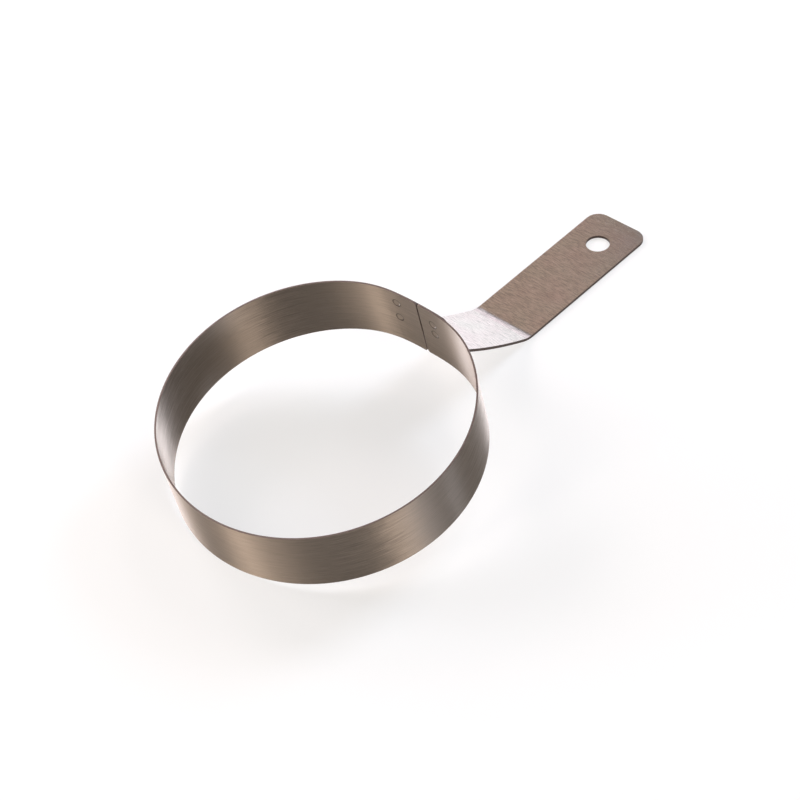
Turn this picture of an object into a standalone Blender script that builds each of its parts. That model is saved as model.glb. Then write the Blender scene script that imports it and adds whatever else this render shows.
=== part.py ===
"""Egg ring for a griddle: a rolled steel band with a bent steel handle spot-welded over its seam.

The ring lies as it is put down on a table, upside down: the griddle rim looks up, the grip lies flat,
and the rim that is the upper one in use touches the table opposite the handle.
Metres, +Z up, +X along the handle towards its hanging hole. The origin is on the table, under the middle
of the whole object.
"""

import math

import bmesh
import bpy
from mathutils import Matrix, Vector

MM = 0.001
DEG = math.pi / 180

# Ring band: a strip rolled round until its two ends meet in a butt seam.
RING_DIAMETER = 101.6 * MM
RING_HEIGHT = 23.3 * MM
BAND_THICKNESS = 0.6 * MM
SEAM_GAP = 0.5 * MM
SEAM_CORNER_RADIUS = 0.8 * MM
# The ends of a rolled strip stay straighter than the rest, so the wall is flatter at the seam.
SEAM_FLAT_DEPTH = 1.7 * MM
SEAM_FLAT_SPREAD = 15.2 * MM
OVALITY = 0.35 * MM

# How far the ring leans over when the object lies on its grip.
LEAN = 8.85 * DEG

# Handle: one strip of thicker sheet with a tab, a riser and a grip.
HANDLE_WIDTH = 23.2 * MM
HANDLE_THICKNESS = 1.0 * MM
TAB_LENGTH = 13.2 * MM
TAB_EDGE_BELOW_RIM = 2.2 * MM
TAB_CORNER_RADIUS = 2.0 * MM
WALL_BEND_RADIUS = 2.0 * MM
RISER_SLOPE_AT_WALL = 37.5 * DEG
RISER_SLOPE_AT_GRIP = 26.0 * DEG
GRIP_BEND_RADIUS = 11.0 * MM
GRIP_LENGTH = 61.8 * MM
GRIP_CORNER_RADIUS = 4.8 * MM
HOLE_DIAMETER = 8.3 * MM
HOLE_FROM_END = 13.5 * MM

# Spot welds: (side of the handle, distance in from its edge on that side, distance below the tab's free edge).
WELD_PLACES = (
    (1, 2.5 * MM, 2.6 * MM),
    (1, 2.3 * MM, 9.7 * MM),
    (-1, 5.8 * MM, 4.3 * MM),
    (-1, 5.8 * MM, 8.9 * MM),
)
NUGGET_DIAMETER = 3.0 * MM
MARK_DIAMETER = 2.7 * MM
MARK_FLOOR_DIAMETER = 2.2 * MM
MARK_DEPTH = 0.12 * MM

# Clearances: between the tab and the wall, and between a weld nugget and each sheet.
TAB_TO_WALL = 0.3 * MM
NUGGET_CLEARANCE = 0.05 * MM

# Facets of the curved stretches.
BAND_FACETS = 160
CORNER_FACETS = 6
BEND_FACETS = 10
RISER_FACETS = 14
HANDLE_COLUMNS = 10
HOLE_FACETS = 48
WELD_FACETS = 24

# The turn round the ring over which the wall's direction at a weld is measured.
DIRECTION_STEP = 0.01


def wall_radius(angle):
    """Outer radius of the band at an angle from the seam."""
    along = RING_DIAMETER / 2 * math.remainder(angle, 2 * math.pi)
    flat = SEAM_FLAT_DEPTH * math.exp(-((along / SEAM_FLAT_SPREAD) ** 2))
    return RING_DIAMETER / 2 - OVALITY * math.cos(2 * angle) - flat


def wall_angle(across):
    """Angle from the seam at which the outer wall lies that far to the side of it."""
    angle = 0.0
    for _ in range(8):
        angle = math.asin(across / wall_radius(angle))
    return angle


def wall_sag(across):
    """How far the outer wall falls back from its foremost line, that far to the side of the seam."""
    angle = wall_angle(across)
    return wall_radius(0) - wall_radius(angle) * math.cos(angle)


def new_object(name, mesh_builder, material=None):
    """Makes one named object out of a finished bmesh."""
    mesh = bpy.data.meshes.new(name)
    bmesh.ops.recalc_face_normals(mesh_builder, faces=mesh_builder.faces)
    mesh_builder.to_mesh(mesh)
    mesh_builder.free()
    mesh.shade_smooth()
    mesh.set_sharp_from_angle(angle=30 * DEG)
    if material:
        mesh.materials.append(material)
    made = bpy.data.objects.new(name, mesh)
    bpy.context.scene.collection.objects.link(made)
    return made


def steel(name, colour, roughness):
    """Stainless steel with a brushed finish."""
    material = bpy.data.materials.new(name)
    material.use_nodes = True
    shader = material.node_tree.nodes["Principled BSDF"]
    shader.inputs["Base Color"].default_value = (*colour, 1)
    shader.inputs["Metallic"].default_value = 1.0
    shader.inputs["Roughness"].default_value = roughness
    return material


def empty(name, location=(0, 0, 0), turn=0.0, parent=None):
    """A frame to hang objects on, turned about Y."""
    made = bpy.data.objects.new(name, None)
    made.location = location
    made.rotation_euler = (0, turn, 0)
    made.parent = parent
    bpy.context.scene.collection.objects.link(made)
    return made


def loft(sections):
    """A closed solid through sections that all have the same number of points in the same order."""
    body = bmesh.new()
    rings = [[body.verts.new(point) for point in section] for section in sections]
    count = len(rings[0])
    for ring, following in zip(rings, rings[1:]):
        for i in range(count):
            j = (i + 1) % count
            body.faces.new((ring[i], ring[j], following[j], following[i]))
    body.faces.new(rings[0])
    body.faces.new(rings[-1])
    return body


def cut(target, cutter):
    """Takes the cutter's shape out of the target."""
    cutter.hide_render = True
    cutter.display_type = "WIRE"
    boolean = target.modifiers.new(cutter.name, "BOOLEAN")
    boolean.operation = "DIFFERENCE"
    boolean.solver = "EXACT"
    boolean.object = cutter


def corner_steps(radius):
    """(distance from the end, set-back of the side) of the points along a rounded corner."""
    steps = []
    for i in range(CORNER_FACETS + 1):
        angle = i * math.pi / 2 / CORNER_FACETS
        steps.append((radius * (1 - math.sin(angle)), radius * (1 - math.cos(angle))))
    return steps[::-1]


# Ring band, in its own frame: Z along the ring's axis, 0 at the griddle rim, the seam at +X.


def band_section(angle, set_back=0.0):
    """The four corners of the strip's section at an angle, narrowed at both rims by set_back."""
    outer = wall_radius(angle)
    inner = outer - BAND_THICKNESS
    ends = (-set_back, set_back - RING_HEIGHT)
    corners = ((outer, ends[0]), (outer, ends[1]), (inner, ends[1]), (inner, ends[0]))
    return [Vector((r * math.cos(angle), r * math.sin(angle), z)) for r, z in corners]


def make_band(frame):
    """The rolled strip, open at the seam, with the corners of both ends rounded off."""
    first = SEAM_GAP / 2 / wall_radius(0)
    corner = [
        (first + distance / wall_radius(0), set_back)
        for distance, set_back in corner_steps(SEAM_CORNER_RADIUS)
    ]
    start = corner[-1][0]
    span = 2 * math.pi - 2 * start
    middle = [(start + span * i / BAND_FACETS, 0.0) for i in range(1, BAND_FACETS)]
    far_corner = [(2 * math.pi - angle, set_back) for angle, set_back in reversed(corner)]
    sections = [
        band_section(angle, set_back) for angle, set_back in corner + middle + far_corner
    ]
    band = new_object("ring_band", loft(sections), steel("band_steel", (0.60, 0.56, 0.52), 0.32))
    band.parent = frame
    return band


# Handle, in the table's frame: its path runs along the middle of the sheet's thickness.


def path_start(ring_centre):
    """Middle of the tab's free edge, above the table."""
    out = wall_radius(0) + TAB_TO_WALL + HANDLE_THICKNESS / 2
    down = TAB_EDGE_BELOW_RIM
    x = ring_centre.x + out * math.cos(LEAN) + down * math.sin(LEAN)
    z = ring_centre.z + out * math.sin(LEAN) - down * math.cos(LEAN)
    return x, z


def handle_path(ring_centre):
    """Points (x, z, direction, share of the wall's curve) of the path and the length along it."""
    x, z = path_start(ring_centre)
    heading = LEAN - math.pi / 2
    length = 0.0
    points = [(x, z, heading, 1.0, length)]

    def go_straight(distance):
        nonlocal x, z, length
        x += distance * math.cos(heading)
        z += distance * math.sin(heading)
        length += distance
        points.append((x, z, heading, points[-1][3], length))

    def go_round(radius, new_heading, facets, last_share):
        nonlocal x, z, heading, length
        old_heading = heading
        first_share = points[-1][3]
        centre_x = x - radius * math.sin(heading)
        centre_z = z + radius * math.cos(heading)
        for i in range(1, facets + 1):
            part = i / facets
            heading = old_heading + (new_heading - old_heading) * part
            x = centre_x + radius * math.sin(heading)
            z = centre_z - radius * math.cos(heading)
            length += radius * (new_heading - old_heading) / facets
            ease = part * part * (3 - 2 * part)
            share = first_share + (last_share - first_share) * ease
            points.append((x, z, heading, share, length))

    half = HANDLE_THICKNESS / 2
    grip_radius = GRIP_BEND_RADIUS + half
    go_straight(TAB_LENGTH)
    go_round(WALL_BEND_RADIUS + half, -RISER_SLOPE_AT_WALL, BEND_FACETS, 1.0)
    # The riser is one shallow arc, whose radius brings the grip down flat on the table.
    drop = z - half - grip_radius * (1 - math.cos(RISER_SLOPE_AT_GRIP))
    riser_radius = drop / (math.cos(RISER_SLOPE_AT_GRIP) - math.cos(RISER_SLOPE_AT_WALL))
    go_round(riser_radius, -RISER_SLOPE_AT_GRIP, RISER_FACETS, 0.0)
    go_round(grip_radius, 0.0, BEND_FACETS, 0.0)
    go_straight(GRIP_LENGTH)
    return points


def path_at(points, length):
    """The path's point that far along it, between the two nearest points."""
    for before, after in zip(points, points[1:]):
        if length <= after[4]:
            part = (length - before[4]) / (after[4] - before[4])
            return [a + (b - a) * part for a, b in zip(before, after)]
    return list(points[-1])


def handle_section(point, set_back):
    """Outline of the sheet across the path: one face's points, then the other's in reverse."""
    x, z, heading, share, _ = point
    normal = Vector((-math.sin(heading), 0, math.cos(heading)))
    back = Vector((-math.cos(LEAN), 0, -math.sin(LEAN)))
    half_width = HANDLE_WIDTH / 2 - set_back
    middle = []
    for i in range(HANDLE_COLUMNS + 1):
        across = half_width * (2 * i / HANDLE_COLUMNS - 1)
        middle.append(Vector((x, across, z)) + back * (wall_sag(across) * share))
    offset = normal * (HANDLE_THICKNESS / 2)
    return [p + offset for p in middle] + [p - offset for p in reversed(middle)]


def make_handle(frame, points):
    """The strip, swept along its path, with rounded corners at both ends and the hanging hole."""
    total = points[-1][4]
    stations = [
        (distance, set_back) for distance, set_back in corner_steps(TAB_CORNER_RADIUS)
    ]
    stations += [(point[4], 0.0) for point in points[1:-1]]
    stations += [
        (total - distance, set_back)
        for distance, set_back in reversed(corner_steps(GRIP_CORNER_RADIUS))
    ]
    sections = [
        handle_section(path_at(points, length), set_back) for length, set_back in stations
    ]
    handle = new_object("handle", loft(sections), steel("handle_steel", (0.60, 0.55, 0.50), 0.36))
    handle.parent = frame
    hole = bmesh.new()
    bmesh.ops.create_cone(
        hole,
        cap_ends=True,
        segments=HOLE_FACETS,
        radius1=HOLE_DIAMETER / 2,
        radius2=HOLE_DIAMETER / 2,
        depth=4 * HANDLE_THICKNESS,
    )
    cutter = new_object("hanging_hole_cutter", hole)
    cutter.parent = frame
    cutter.location = (points[-1][0] - HOLE_FROM_END, 0, HANDLE_THICKNESS / 2)
    cut(handle, cutter)
    return handle


# Spot welds: a nugget between the two sheets, and the electrodes' round marks on the outer faces.


def weld_frame(weld, out):
    """A frame on the wall, out from its outer face, with Z pointing out and X along the wall."""
    side, inward, down = weld
    angle = wall_angle(side * (HANDLE_WIDTH / 2 - inward))
    below = TAB_EDGE_BELOW_RIM + down
    here, ahead = (
        Vector((wall_radius(a) * math.cos(a), wall_radius(a) * math.sin(a), 0))
        for a in (angle, angle + DIRECTION_STEP)
    )
    tangent = (ahead - here).normalized()
    normal = tangent.cross(Vector((0, 0, 1)))
    place = here + normal * out - Vector((0, 0, below))
    turn = Matrix((tangent, normal.cross(tangent), normal)).transposed()
    return Matrix.Translation(place) @ turn.to_4x4()


def make_marks(name, frame, out, outward):
    """Cutter for the marks that the electrodes press into one face, at that distance off the wall."""
    marks = bmesh.new()
    # The cutter starts as far above the face as it goes in, and its sides carry on at one slope.
    spread = (MARK_DIAMETER - MARK_FLOOR_DIAMETER) / 2
    for weld in WELD_PLACES:
        bmesh.ops.create_cone(
            marks,
            cap_ends=True,
            segments=WELD_FACETS,
            radius1=MARK_FLOOR_DIAMETER / 2 if outward else MARK_DIAMETER / 2 + spread,
            radius2=MARK_DIAMETER / 2 + spread if outward else MARK_FLOOR_DIAMETER / 2,
            depth=2 * MARK_DEPTH,
            matrix=weld_frame(weld, out),
        )
    cutter = new_object(name, marks)
    cutter.parent = frame
    return cutter


def make_nugget(name, frame, weld, material):
    """The fused metal that holds the tab to the band at one weld."""
    disc = bmesh.new()
    bmesh.ops.create_cone(
        disc,
        cap_ends=True,
        segments=WELD_FACETS,
        radius1=NUGGET_DIAMETER / 2,
        radius2=NUGGET_DIAMETER / 2,
        depth=TAB_TO_WALL - 2 * NUGGET_CLEARANCE,
        matrix=weld_frame(weld, TAB_TO_WALL / 2),
    )
    nugget = new_object(name, disc, material)
    nugget.parent = frame
    return nugget


def make_egg_ring():
    """Places the leaning ring and the flat grip on the table, with the origin under the middle."""
    far_radius = wall_radius(math.pi)
    # The far lower edge of the ring touches the table at x = 0 before the whole is centred.
    ring_centre = Vector(
        (
            far_radius * math.cos(LEAN) - RING_HEIGHT * math.sin(LEAN),
            0,
            far_radius * math.sin(LEAN) + RING_HEIGHT * math.cos(LEAN),
        )
    )
    points = handle_path(ring_centre)
    lowest_x = ring_centre.x - far_radius * math.cos(LEAN)
    middle_x = (lowest_x + points[-1][0]) / 2
    table = empty("egg_ring", (-middle_x, 0, 0))
    ring_frame = empty("leaning_ring", ring_centre, -LEAN, table)
    band = make_band(ring_frame)
    handle = make_handle(table, points)
    weld_metal = steel("weld_metal", (0.45, 0.42, 0.40), 0.5)
    for i, weld in enumerate(WELD_PLACES):
        make_nugget(f"spot_weld_{i + 1}", ring_frame, weld, weld_metal)
    inside = make_marks("inside_marks_cutter", ring_frame, -BAND_THICKNESS, False)
    tab_face = TAB_TO_WALL + HANDLE_THICKNESS
    outside = make_marks("outside_marks_cutter", ring_frame, tab_face, True)
    cut(band, inside)
    cut(handle, outside)


for old in list(bpy.data.objects):
    bpy.data.objects.remove(old)
make_egg_ring()
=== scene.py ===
import math

import bpy
from mathutils import Matrix, Vector

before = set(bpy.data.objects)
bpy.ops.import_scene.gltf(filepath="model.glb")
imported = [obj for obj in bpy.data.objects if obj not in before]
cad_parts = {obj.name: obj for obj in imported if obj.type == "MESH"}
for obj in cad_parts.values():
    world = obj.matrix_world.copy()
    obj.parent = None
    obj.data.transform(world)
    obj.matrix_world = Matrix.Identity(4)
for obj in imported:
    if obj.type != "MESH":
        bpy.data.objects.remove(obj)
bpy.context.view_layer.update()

# Ring band
# A strip of thin stainless steel, rolled round until its ends meet in a butt seam. It was cut from sheet
# that had been brushed along its length, so the scratches run round the ring, on both sides of the wall.

MM = 0.001
DEG = math.pi / 180
RING_CENTRE = Vector((-50.74, 0.0, 30.78)) * MM
LEAN = 8.85 * DEG
RING_AXIS = Vector((-math.sin(LEAN), 0.0, math.cos(LEAN)))
BAND_EDGE_ROUND = 0.08 * MM
MERGE_DISTANCE = 0.001 * MM


def linear(hex_colour):
    """An sRGB colour such as "A89888", as the linear colour with alpha that a shader takes."""
    channels = [int(hex_colour[i:i + 2], 16) / 255 for i in (0, 2, 4)]
    straight = [c / 12.92 if c <= 0.04045 else ((c + 0.055) / 1.055) ** 2.4 for c in channels]
    return (*straight, 1.0)


def add_node(tree, kind, settings, inputs):
    """Adds one node, with its settings, and gives each named input a value or a link."""
    made = tree.nodes.new(kind)
    for name, value in settings.items():
        setattr(made, name, value)
    for name, value in inputs.items():
        if isinstance(value, bpy.types.NodeSocket):
            tree.links.new(value, made.inputs[name])
        else:
            made.inputs[name].default_value = value
    return made


def start_material(name):
    """A new material, with its node tree and the Principled shader that its output shows."""
    material = bpy.data.materials.new(name)
    material.use_nodes = True
    shader = material.node_tree.nodes["Principled BSDF"]
    return material, material.node_tree, shader


def soften_edges(piece, width):
    """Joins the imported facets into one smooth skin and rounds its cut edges, as tumbling leaves them."""
    mesh = piece.data
    for name in ("custom_normal", "sharp_face", "sharp_edge"):
        if name in mesh.attributes:
            mesh.attributes.remove(mesh.attributes[name])
    join = piece.modifiers.new("join_facets", "WELD")
    join.merge_threshold = MERGE_DISTANCE
    bevel = piece.modifiers.new("rounded_edges", "BEVEL")
    bevel.limit_method = "ANGLE"
    bevel.angle_limit = 40 * DEG
    bevel.width = width
    bevel.segments = 5
    # The rounding takes the piece's second material, that of its cut edges.
    bevel.material = 1
    # The weld marks' sloping sides meet the sheet at about 25 degrees, and no curve turns by more than 18.
    creases = piece.modifiers.new("weld_mark_creases", "EDGE_SPLIT")
    creases.split_angle = 20 * DEG
    even = piece.modifiers.new("even_shading", "WEIGHTED_NORMAL")
    even.weight = 100


# Brushed stainless steel, grade 304: warm grey, with a long soft glow across the scratches and a fairly
# sharp reflection along them. Each scratch leans a little, which frays the edges of what it reflects.
# Real scratches are a few hundredths of a millimetre wide. These are drawn wider, so that they show.
BRUSHED_STEEL = "998C80"
band_steel, tree, shader = start_material("brushed_stainless_band")
place = add_node(tree, "ShaderNodeTexCoord", {}, {}).outputs["Object"]
SCRATCH_WIDTH = 0.2 * MM
SCRATCH_LENGTH = 9.0 * MM
SCRATCH_LEAN = 0.1
scratch_place = add_node(tree, "ShaderNodeMapping", {"vector_type": "TEXTURE"}, {
    "Vector": place,
    "Location": RING_CENTRE,
    "Rotation": (0.0, -LEAN, 0.0),
    "Scale": (SCRATCH_LENGTH, SCRATCH_LENGTH, SCRATCH_WIDTH),
}).outputs["Vector"]
scratches = add_node(tree, "ShaderNodeTexNoise", {}, {
    "Vector": scratch_place, "Scale": 1.0, "Detail": 4.0, "Roughness": 0.7,
}).outputs["Fac"]
normal = add_node(tree, "ShaderNodeNewGeometry", {}, {}).outputs["Normal"]
round_the_ring = add_node(tree, "ShaderNodeVectorMath", {"operation": "CROSS_PRODUCT"}, {
    0: RING_AXIS, 1: normal,
}).outputs["Vector"]
scratch_lean = add_node(tree, "ShaderNodeMapRange", {}, {
    "Value": scratches, "From Min": 0.25, "From Max": 0.75, "To Min": -SCRATCH_LEAN, "To Max": SCRATCH_LEAN,
}).outputs["Result"]
leaning = add_node(tree, "ShaderNodeVectorMath", {"operation": "SCALE"}, {
    0: round_the_ring, "Scale": scratch_lean,
}).outputs["Vector"]
tilted = add_node(tree, "ShaderNodeVectorMath", {"operation": "ADD"}, {0: normal, 1: leaning})
tilted = add_node(tree, "ShaderNodeVectorMath", {"operation": "NORMALIZE"}, {0: tilted.outputs["Vector"]})
across_scratches = add_node(tree, "ShaderNodeCombineXYZ", {}, {
    "X": RING_AXIS.x, "Y": RING_AXIS.y, "Z": RING_AXIS.z,
}).outputs["Vector"]

# The welding current leaves a dark ring of oxide round each electrode mark, about half a millimetre wide.
OXIDE_RING = 1.62 * MM
OXIDE_HALF_WIDTH = 0.3 * MM
OXIDE_DARKNESS = 0.62
# Each point of the wall takes its distance from the nearest mark, and this is farther than any.
OUT_OF_REACH = 1.0
nearest = OUT_OF_REACH
for number in (1, 2, 3, 4):
    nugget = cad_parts[f"spot_weld_{number}"]
    corners = [nugget.matrix_world @ Vector(corner) for corner in nugget.bound_box]
    centre = sum(corners, Vector()) / 8
    distance = add_node(tree, "ShaderNodeVectorMath", {"operation": "DISTANCE"}, {0: place, 1: centre})
    nearest = add_node(tree, "ShaderNodeMath", {"operation": "MINIMUM"}, {
        0: nearest, 1: distance.outputs["Value"],
    }).outputs["Value"]
off_ring = add_node(tree, "ShaderNodeMath", {"operation": "SUBTRACT"}, {0: nearest, 1: OXIDE_RING})
off_ring = add_node(tree, "ShaderNodeMath", {"operation": "ABSOLUTE"}, {0: off_ring.outputs["Value"]})
oxide = add_node(tree, "ShaderNodeMapRange", {"interpolation_type": "SMOOTHSTEP"}, {
    "Value": off_ring.outputs["Value"],
    "From Min": 0.0,
    "From Max": OXIDE_HALF_WIDTH,
    "To Min": OXIDE_DARKNESS,
    "To Max": 0.0,
}).outputs["Result"]
# Each scratch is also a little darker or lighter than its neighbours.
DARKEST_STREAK = 0.75
LIGHTEST_STREAK = 1.17
streaks = add_node(tree, "ShaderNodeMapRange", {}, {
    "Value": scratches,
    "From Min": 0.3,
    "From Max": 0.7,
    "To Min": DARKEST_STREAK,
    "To Max": LIGHTEST_STREAK,
}).outputs["Result"]
shade = add_node(tree, "ShaderNodeMath", {"operation": "MULTIPLY_ADD"}, {
    0: oxide, 1: -1.0, 2: streaks,
}).outputs["Value"]
steel_colour = add_node(tree, "ShaderNodeVectorMath", {"operation": "SCALE"}, {
    0: linear(BRUSHED_STEEL)[:3], "Scale": shade,
}).outputs["Vector"]
tree.links.new(steel_colour, shader.inputs["Base Color"])
shader.inputs["Metallic"].default_value = 1.0
shader.inputs["Roughness"].default_value = 0.58
shader.inputs["Anisotropic"].default_value = 1.0
tree.links.new(tilted.outputs["Vector"], shader.inputs["Normal"])
tree.links.new(across_scratches, shader.inputs["Tangent"])

# The rims were slit from the coil and tumbled: dull, without scratches, a little darker than the wall.
SLIT_STEEL = "7A6B64"
slit_steel, tree, shader = start_material("slit_stainless_rim")
shader.inputs["Base Color"].default_value = linear(SLIT_STEEL)
shader.inputs["Metallic"].default_value = 1.0
shader.inputs["Roughness"].default_value = 0.5

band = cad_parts["ring_band"]
band.data.materials.clear()
band.data.materials.append(band_steel)
band.data.materials.append(slit_steel)
# A face of the wall looks straight away from the axis or at it. Every other face was cut.
for face in band.data.polygons:
    from_axis = (face.center - RING_CENTRE).cross(RING_AXIS).cross(RING_AXIS).normalized()
    face.material_index = int(abs(face.normal.dot(from_axis)) < 0.5)
soften_edges(band, BAND_EDGE_ROUND)

# Handle
# One strip of stainless sheet, 1 mm thick where the band is 0.6, sheared with rounded corners, pierced and
# bent into a tab, a riser and a grip. Its short brush marks run across the strip, and its tab is
# spot-welded to the band.

HANDLE_EDGE_ROUND = 0.2 * MM

# Mill-finish stainless steel, rolled smooth: it mirrors the room softly, and the brush marks break that up.
# The marks are drawn about as wide as one pixel of the render, because finer ones wouldn't show.
handle_steel, tree, shader = start_material("mill_finish_stainless_handle")
shader.inputs["Metallic"].default_value = 1.0
shader.inputs["Roughness"].default_value = 0.16
MARK_WIDTH = 0.38 * MM
MARK_LENGTH = 2.6 * MM
MARK_LEAN = 0.035
place = add_node(tree, "ShaderNodeTexCoord", {}, {}).outputs["Object"]
mark_place = add_node(tree, "ShaderNodeMapping", {"vector_type": "TEXTURE"}, {
    "Vector": place, "Scale": (MARK_WIDTH, MARK_LENGTH, MARK_WIDTH),
}).outputs["Vector"]
marks = add_node(tree, "ShaderNodeTexNoise", {}, {
    "Vector": mark_place, "Scale": 1.0, "Detail": 3.0, "Roughness": 0.65,
}).outputs["Fac"]
mark_lean = add_node(tree, "ShaderNodeMapRange", {}, {
    "Value": marks, "From Min": 0.25, "From Max": 0.75, "To Min": -MARK_LEAN, "To Max": MARK_LEAN,
}).outputs["Result"]
leaning = add_node(tree, "ShaderNodeCombineXYZ", {}, {"X": mark_lean}).outputs["Vector"]
normal = add_node(tree, "ShaderNodeNewGeometry", {}, {}).outputs["Normal"]
tilted = add_node(tree, "ShaderNodeVectorMath", {"operation": "ADD"}, {0: normal, 1: leaning})
tilted = add_node(tree, "ShaderNodeVectorMath", {"operation": "NORMALIZE"}, {0: tilted.outputs["Vector"]})
tree.links.new(tilted.outputs["Vector"], shader.inputs["Normal"])
# The rolled skin shifts faintly between a pink and a greenish grey over a centimetre or so, and the marks
# are a little darker or lighter than it.
PINK_STEEL = "F2E4E8"
GREEN_STEEL = "E8EAE8"
BLOTCH = 12.0 * MM
DARKEST_MARK = 0.72
LIGHTEST_MARK = 1.2
blotches = add_node(tree, "ShaderNodeTexNoise", {}, {
    "Vector": place, "Scale": 1 / BLOTCH, "Detail": 1.0,
}).outputs["Fac"]
skin = add_node(tree, "ShaderNodeMix", {"data_type": "RGBA"}, {
    0: blotches, 6: linear(PINK_STEEL), 7: linear(GREEN_STEEL),
}).outputs[2]
mark_shade = add_node(tree, "ShaderNodeMapRange", {}, {
    "Value": marks,
    "From Min": 0.3,
    "From Max": 0.7,
    "To Min": DARKEST_MARK,
    "To Max": LIGHTEST_MARK,
}).outputs["Result"]
skin = add_node(tree, "ShaderNodeVectorMath", {"operation": "SCALE"}, {0: skin, "Scale": mark_shade})
tree.links.new(skin.outputs["Vector"], shader.inputs["Base Color"])

# Where the press sheared the thicker sheet, the break is torn and dull. Its colour is made darker still as
# painted shade, so that the cut sides, their rounding and the hole's wall carry thin dark lines of painted
# shadow and painted dark reflection.
SHEARED_STEEL_AND_SHADE = "50443F"
sheared_steel_and_shade, tree, shader = start_material("sheared_stainless_edge_and_painted_shade")
shader.inputs["Base Color"].default_value = linear(SHEARED_STEEL_AND_SHADE)
shader.inputs["Metallic"].default_value = 1.0
shader.inputs["Roughness"].default_value = 0.5

# The cut sides of the strip, its end and the hole's wall are sheared. The tab's free edge is the one cut
# face that looks along the ring's axis.
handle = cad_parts["handle"]
handle.data.materials.clear()
handle.data.materials.append(handle_steel)
handle.data.materials.append(sheared_steel_and_shade)
TAB_END = -0.5 * MM
GRIP_START = 40.0 * MM
# These cut faces, and the rounding along them, take the dark sheared colour with its painted shade.
for face in handle.data.polygons:
    side = abs(face.normal.y) > 0.5
    tab_edge = face.center.x < TAB_END and abs(face.normal.dot(RING_AXIS)) > 0.7
    grip_edge = face.center.x > GRIP_START and abs(face.normal.z) < 0.5
    face.material_index = int(side or tab_edge or grip_edge)
soften_edges(handle, HANDLE_EDGE_ROUND)

# Spot welds
# Four resistance welds join the tab to the band, two on each side of the seam. The fused metal shows
# only in the thin slit between the two sheets.

# Fused stainless steel, left as it set: dull and grey, without a grain.
WELD_METAL = "6E6660"
weld_metal, tree, shader = start_material("fused_stainless_weld")
shader.inputs["Base Color"].default_value = linear(WELD_METAL)
shader.inputs["Metallic"].default_value = 1.0
shader.inputs["Roughness"].default_value = 0.6
for number in (1, 2, 3, 4):
    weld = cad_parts[f"spot_weld_{number}"]
    weld.data.materials.clear()
    weld.data.materials.append(weld_metal)

# Table and light
# A plain round white table top, 2.9 m across, in a dim room with soft lamps round it and a white wall low
# down behind them.
# To the camera, and in what the metal mirrors, part of the table's white is even, so its shadow stays pale.

# White laminate, matt: it gives no gloss, only the soft shadow of the object.
FLOOR_RADIUS = 1.45
FLOOR_WHITE = "F4F0EB"
EVEN_WHITE = 0.6
FLOOR_SIDES = 64
FLOOR_CLEARANCE = 0.05 * MM
floor_mesh = bpy.data.meshes.new("table_top")
turns = [i * 2 * math.pi / FLOOR_SIDES for i in range(FLOOR_SIDES)]
rim = [(FLOOR_RADIUS * math.cos(turn), FLOOR_RADIUS * math.sin(turn), 0.0) for turn in turns]
floor_mesh.from_pydata(rim, [], [list(range(FLOOR_SIDES))])
floor = bpy.data.objects.new("table_top", floor_mesh)
floor.location.z = -FLOOR_CLEARANCE
bpy.context.scene.collection.objects.link(floor)
white_table, tree, shader = start_material("white_laminate")
shader.inputs["Base Color"].default_value = linear(FLOOR_WHITE)
shader.inputs["Roughness"].default_value = 0.9
shader.inputs["Specular IOR Level"].default_value = 0.0
ray = add_node(tree, "ShaderNodeLightPath", {}, {}).outputs
seen = add_node(tree, "ShaderNodeMath", {"operation": "ADD"}, {
    0: ray["Is Camera Ray"], 1: ray["Is Glossy Ray"],
}).outputs["Value"]
seen = add_node(tree, "ShaderNodeMath", {"operation": "ADD", "use_clamp": True}, {
    0: seen, 1: ray["Is Transmission Ray"],
}).outputs["Value"]
even_share = add_node(tree, "ShaderNodeMath", {"operation": "MULTIPLY"}, {0: seen, 1: EVEN_WHITE})
even_white = add_node(tree, "ShaderNodeEmission", {}, {"Color": (1, 1, 1, 1), "Strength": 1.0})
table_look = add_node(tree, "ShaderNodeMixShader", {}, {
    0: even_share.outputs["Value"], 1: shader.outputs["BSDF"], 2: even_white.outputs["Emission"],
})
output = tree.nodes["Material Output"]
tree.links.new(table_look.outputs["Shader"], output.inputs["Surface"])
floor.data.materials.append(white_table)

world = bpy.data.worlds.new("studio")
bpy.context.scene.world = world
world.use_nodes = True
tree = world.node_tree
background = tree.nodes["Background"]
ROOM = 0.12
LOW_WALL = 1.0
WALL_TOP = 7 * DEG
ROOM_START = 10 * DEG
direction = add_node(tree, "ShaderNodeTexCoord", {}, {}).outputs["Generated"]
height = add_node(tree, "ShaderNodeSeparateXYZ", {}, {"Vector": direction}).outputs["Z"]
strength = add_node(tree, "ShaderNodeMapRange", {"interpolation_type": "SMOOTHSTEP"}, {
    "Value": height,
    "From Min": math.sin(WALL_TOP),
    "From Max": math.sin(ROOM_START),
    "To Min": LOW_WALL,
    "To Max": ROOM,
}).outputs["Result"]
background.inputs["Color"].default_value = (1, 1, 1, 1)
tree.links.new(strength, background.inputs["Strength"])

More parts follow.
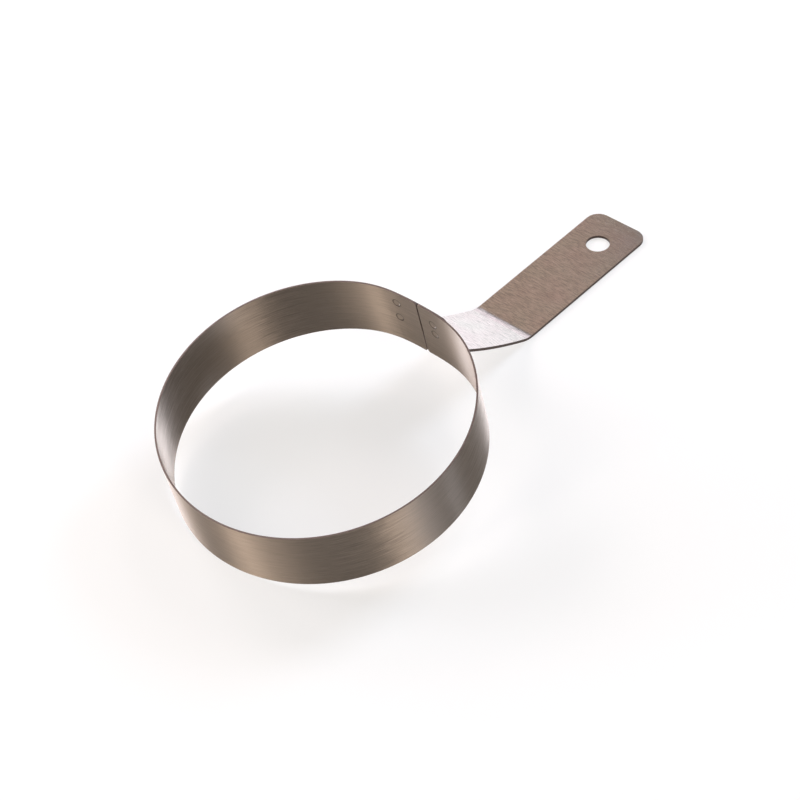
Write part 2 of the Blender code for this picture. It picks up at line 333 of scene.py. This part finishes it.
# Soft lamps and white cards stand round the table. The narrow ones give the brushed wall its bright bands.
# Each is (name, azimuth from +X, angle across, lowest and highest elevation, brightness, colour), in
# degrees, and a brightness of 1 looks as bright as plain white.
DAYLIGHT = "D9E8FF"
WARM = "FFF4E9"
AMBER = "FFCFA0"
PALE_PINK = "FFF6FA"
SOFTBOXES = (
    ("right_strip", 357.0, 20.0, 20.0, 38.0, 23.0, DAYLIGHT),
    ("right_top", 9.0, 8.0, 38.0, 54.0, 7.8, DAYLIGHT),
    ("back_card", 30.0, 26.0, 8.5, 25.0, 0.85, PALE_PINK),
    ("back_card_top", 32.0, 26.0, 25.0, 31.0, 0.45, PALE_PINK),
    ("back_high_right", 18.0, 8.0, 40.0, 56.0, 14.3, PALE_PINK),
    ("back_top", 44.0, 20.0, 31.0, 60.0, 0.25, AMBER),
    ("overhead", 90.0, 120.0, 64.0, 90.0, 0.3, PALE_PINK),
    ("back_left_card", 78.0, 22.0, 18.0, 38.0, 10.1, PALE_PINK),
    ("back_left_low", 111.0, 18.0, 0.0, 5.0, 3.7, DAYLIGHT),
    ("back_left_strip", 119.0, 18.0, 5.0, 20.0, 17.0, DAYLIGHT),
    ("back_left_wide", 132.0, 12.0, 2.0, 12.0, 7.8, WARM),
    ("back_left_high", 110.0, 24.0, 20.0, 42.0, 6.4, PALE_PINK),
    ("left_strip", 166.0, 8.0, 7.0, 38.0, 8.3, WARM),
    ("left_high", 155.0, 34.0, 38.0, 56.0, 3.2, WARM),
    ("left_low", 180.0, 36.0, 0.0, 7.0, 5.1, WARM),
    ("front_strip", 255.0, 18.0, 20.0, 38.0, 10.1, WARM),
    ("front_high", 252.0, 20.0, 38.0, 54.0, 1.4, WARM),
    ("front_low", 271.0, 21.0, 0.0, 7.0, 12.4, DAYLIGHT),
    ("front_slit", 296.5, 2.0, 0.0, 8.0, 66.2, DAYLIGHT),
)
LAMP_DISTANCE = 1.5


def add_softbox(name, azimuth, spread, lowest, highest, brightness, colour):
    """A rectangular lamp that faces the middle of the object and isn't itself in the picture."""
    middle = (lowest + highest) / 2 * DEG
    level = Vector((math.cos(azimuth * DEG), math.sin(azimuth * DEG), 0.0))
    out = level * math.cos(middle) + Vector((0.0, 0.0, math.sin(middle)))
    lamp = bpy.data.lights.new(name, "AREA")
    lamp.shape = "RECTANGLE"
    lamp.size = 2 * LAMP_DISTANCE * math.cos(middle) * math.tan(spread / 2 * DEG)
    lamp.size_y = 2 * LAMP_DISTANCE * math.tan((highest - lowest) / 2 * DEG)
    lamp.energy = brightness * math.pi * lamp.size * lamp.size_y
    lamp.color = linear(colour)[:3]
    holder = bpy.data.objects.new(name, lamp)
    holder.location = out * LAMP_DISTANCE
    holder.rotation_euler = out.to_track_quat("Z", "Y").to_euler()
    holder.visible_camera = False
    bpy.context.scene.collection.objects.link(holder)


for softbox in SOFTBOXES:
    add_softbox(*softbox)

# Camera
# A long lens, seen from the front left and from above, about 0.8 m away.

camera_data = bpy.data.cameras.new("camera")
camera_data.lens = 112.5
camera_data.sensor_width = 36.0
camera = bpy.data.objects.new("camera", camera_data)
camera.matrix_world = Matrix((
    (0.66685, 0.5549, -0.49738, -0.41493),
    (-0.74147, 0.42753, -0.51715, -0.41650),
    (-0.07432, 0.71365, 0.69654, 0.56559),
    (0.0, 0.0, 0.0, 1.0),
))
bpy.context.scene.collection.objects.link(camera)
bpy.context.scene.camera = camera
bpy.context.scene.view_settings.view_transform = "Standard"
